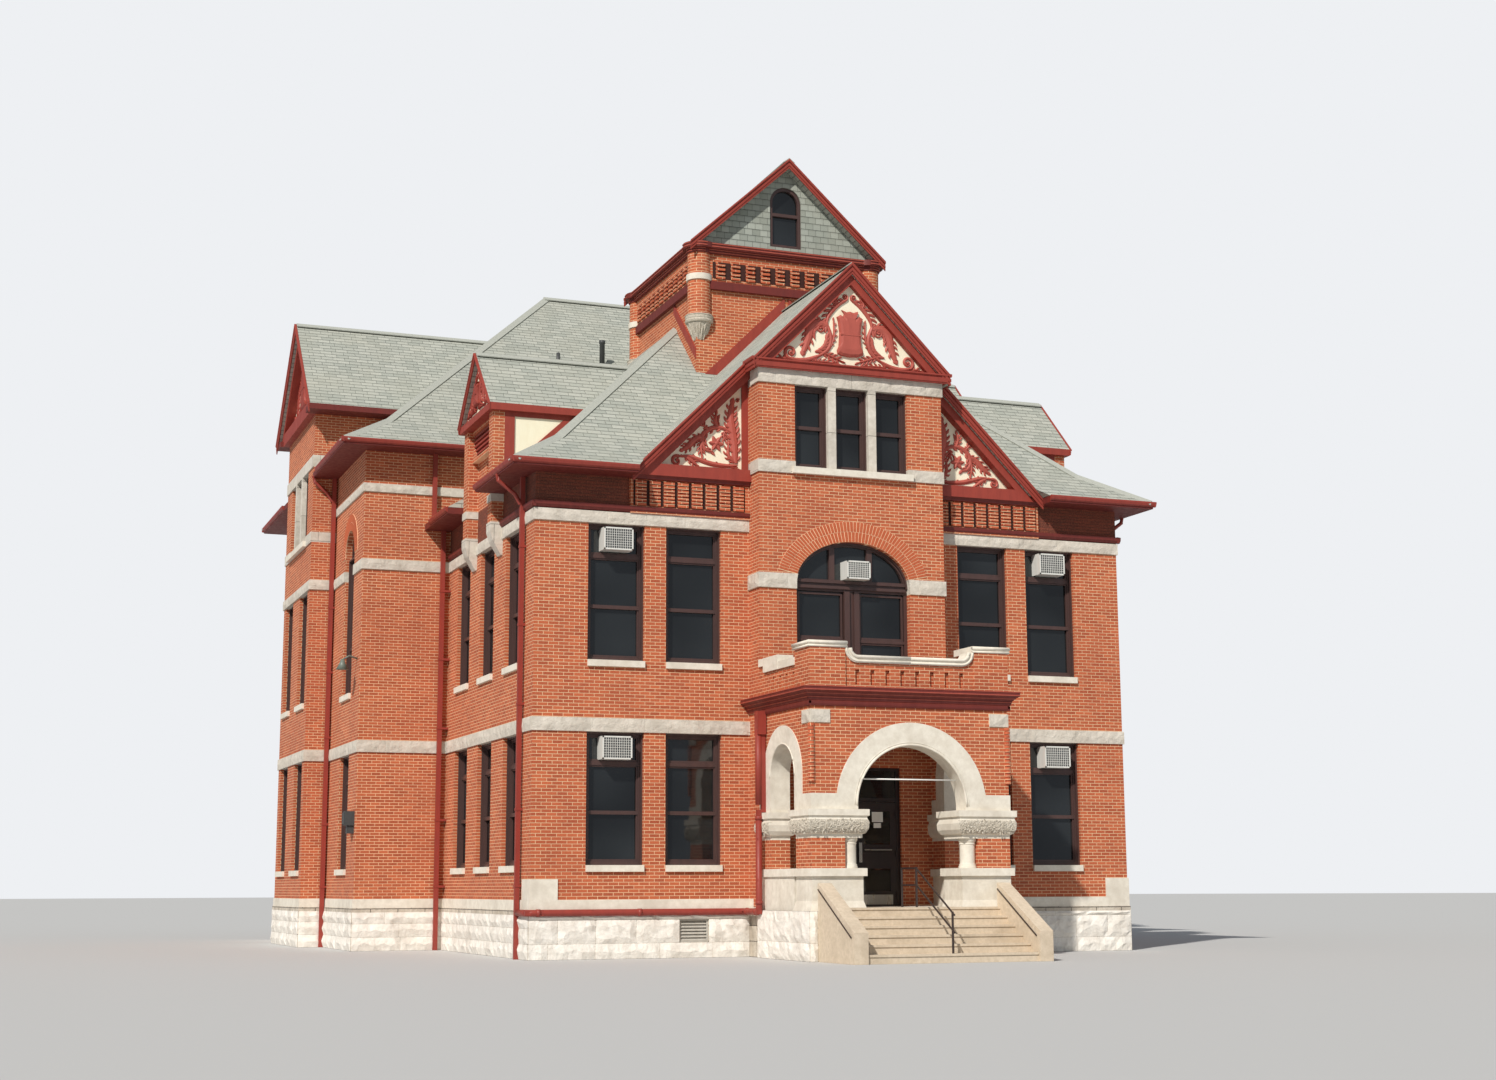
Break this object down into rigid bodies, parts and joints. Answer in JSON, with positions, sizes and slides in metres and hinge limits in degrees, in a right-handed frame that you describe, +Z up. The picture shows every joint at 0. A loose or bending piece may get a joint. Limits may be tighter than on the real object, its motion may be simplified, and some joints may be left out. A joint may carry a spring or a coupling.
{
  "type": "town hall building",
  "caption": "Brick town hall with stone bands, steep hip roofs, a square tower, an arched entrance porch with a balcony, and double doors that swing outwards",
  "frame": {"origin": "on the ground in the plane of the front wall, on the centre line of the building", "axes": "+X to the right seen from the front, +Y back into the building, +Z up"},
  "size_m": [19.22, 24.9, 18.05],
  "materials": {
    "brick": "rough",
    "stone": "rough",
    "concrete": "rough",
    "timber": "matte",
    "red_trim": "painted",
    "cream_panels": "painted",
    "shingles": "rough",
    "dark_frames": "painted",
    "glass": "polished",
    "dark_metal": "satin",
    "red_metal": "satin",
    "white_metal": "satin"
  },
  "bodies": {
    "building": {"foundation": "stone", "water_table": "stone", "ground_floor": "timber", "upper_floor": "timber", "attic_floor": "timber", "pavilion_walls": "brick", "centre_bay": "brick", "main_walls": "brick", "side_bays": "brick", "stone_bands": "stone", "window_sills": "stone", "gable_panels": "cream_panels", "gable_trim": "red_trim", "gable_roofs": "shingles", "eaves": "red_trim", "pavilion_roof": "shingles", "main_roof": "shingles", "dormer_walls": "brick", "dormer_stonework": "stone", "dormer_trim": "red_trim", "dormer_roofs": "shingles", "tower_walls": "brick", "tower_gable_walls": "shingles", "tower_stonework": "stone", "tower_cornice": "red_trim", "tower_roof": "shingles", "porch_base": "stone", "porch_brickwork": "brick", "porch_stonework": "stone", "porch_arches": "stone", "balcony_deck": "concrete", "porch_cornice": "red_trim", "parapet": "brick", "parapet_coping": "stone", "steps": "concrete", "handrail": "dark_metal", "lower_window_frames": "dark_frames", "upper_window_frames": "dark_frames", "attic_window_frames": "dark_frames", "window_glass": "glass", "entrance_frame": "dark_frames", "downspouts": "red_metal", "air_conditioners": "white_metal"},
    "left_door": {"left_door": "dark_frames"},
    "right_door": {"right_door": "dark_frames"}
  },
  "joints": [
    {"name": "right_door_hinge", "type": "hinge", "parent": "building", "child": "right_door", "pos_m": [0.9, -0.552, 2.05], "axis": [0, 0, 1], "range_deg": [0, 90]},
    {"name": "left_door_hinge", "type": "hinge", "parent": "building", "child": "left_door", "pos_m": [-0.9, -0.552, 2.05], "axis": [0, 0, -1], "range_deg": [0, 90]}
  ]
}
